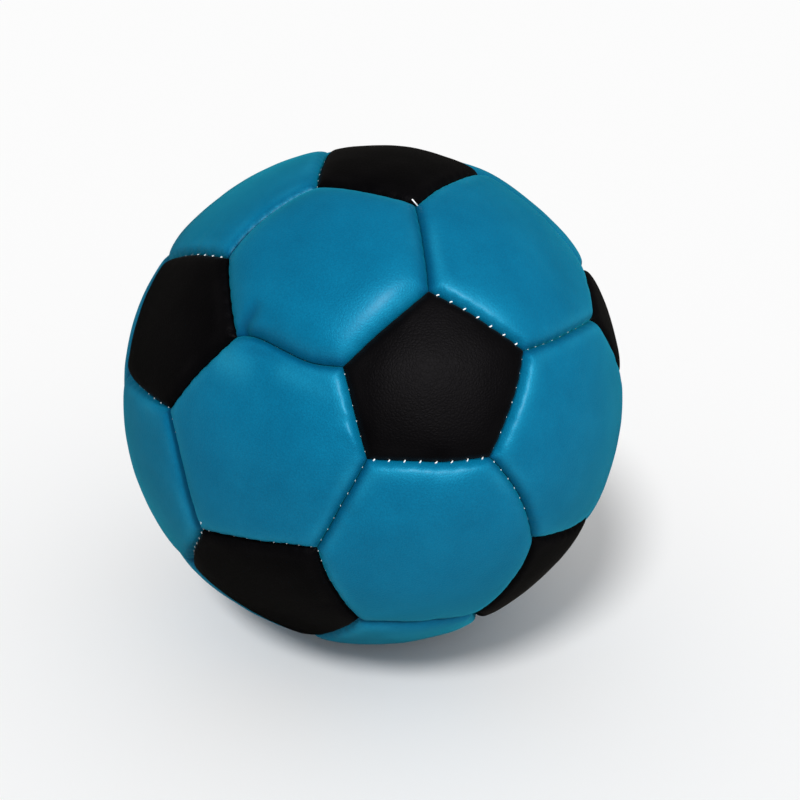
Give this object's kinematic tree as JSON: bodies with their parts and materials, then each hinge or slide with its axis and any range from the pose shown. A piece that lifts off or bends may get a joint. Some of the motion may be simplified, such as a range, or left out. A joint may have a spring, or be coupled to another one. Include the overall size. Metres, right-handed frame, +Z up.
{
  "type": "stuffed dog ball",
  "caption": "Soft stuffed ball for dogs, sewn like a football from blue hexagons and black pentagons, with a bellows squeaker inside.",
  "frame": {"origin": "centre of the ball", "axes": "+Z up through the top pentagon, -Y towards the front upper pentagon; the ball rests on the bottom pentagon"},
  "size_m": [0.1074, 0.1094, 0.1079],
  "materials": {
    "blue_leathercloth": "satin imitation leather with a fine grain",
    "black_leathercloth": "satin imitation leather with a fine grain",
    "thread": "white twisted polyester sewing thread",
    "fibre_filling": "loose white polyester fibre",
    "squeaker_plastic": "soft translucent moulded plastic",
    "reed_plastic": "hard white moulded plastic",
    "reed_film": "thin springy film"
  },
  "bodies": {
    "ball": {"pentagon_top": "black_leathercloth", "pentagon_upper_1": "black_leathercloth", "pentagon_upper_2": "black_leathercloth", "pentagon_upper_3": "black_leathercloth", "pentagon_upper_4": "black_leathercloth", "pentagon_upper_5": "black_leathercloth", "pentagon_lower_1": "black_leathercloth", "pentagon_lower_2": "black_leathercloth", "pentagon_lower_3": "black_leathercloth", "pentagon_lower_4": "black_leathercloth", "pentagon_lower_5": "black_leathercloth", "pentagon_bottom": "black_leathercloth", "hexagon_top_1": "blue_leathercloth", "hexagon_top_2": "blue_leathercloth", "hexagon_top_3": "blue_leathercloth", "hexagon_top_4": "blue_leathercloth", "hexagon_top_5": "blue_leathercloth", "hexagon_upper_1": "blue_leathercloth", "hexagon_upper_2": "blue_leathercloth", "hexagon_upper_3": "blue_leathercloth", "hexagon_upper_4": "blue_leathercloth", "hexagon_upper_5": "blue_leathercloth", "hexagon_lower_1": "blue_leathercloth", "hexagon_lower_2": "blue_leathercloth", "hexagon_lower_3": "blue_leathercloth", "hexagon_lower_4": "blue_leathercloth", "hexagon_lower_5": "blue_leathercloth", "hexagon_bottom_1": "blue_leathercloth", "hexagon_bottom_2": "blue_leathercloth", "hexagon_bottom_3": "blue_leathercloth", "hexagon_bottom_4": "blue_leathercloth", "hexagon_bottom_5": "blue_leathercloth", "seam_stitches": "thread", "filling": "fibre_filling", "squeaker_base": "squeaker_plastic", "squeaker_bellows": "squeaker_plastic", "reed_sleeve": "reed_plastic", "reed_seat": "reed_plastic", "reed": "reed_film"},
    "squeaker_crown": {"squeaker_crown": "squeaker_plastic"}
  },
  "joints": [
    {"name": "squeaker_press", "type": "slide", "parent": "ball", "child": "squeaker_crown", "axis": [0, 0, -1], "range_m": [0, 0.008], "stiffness_N_per_m": 300, "deforming": ["squeaker_bellows"]}
  ]
}
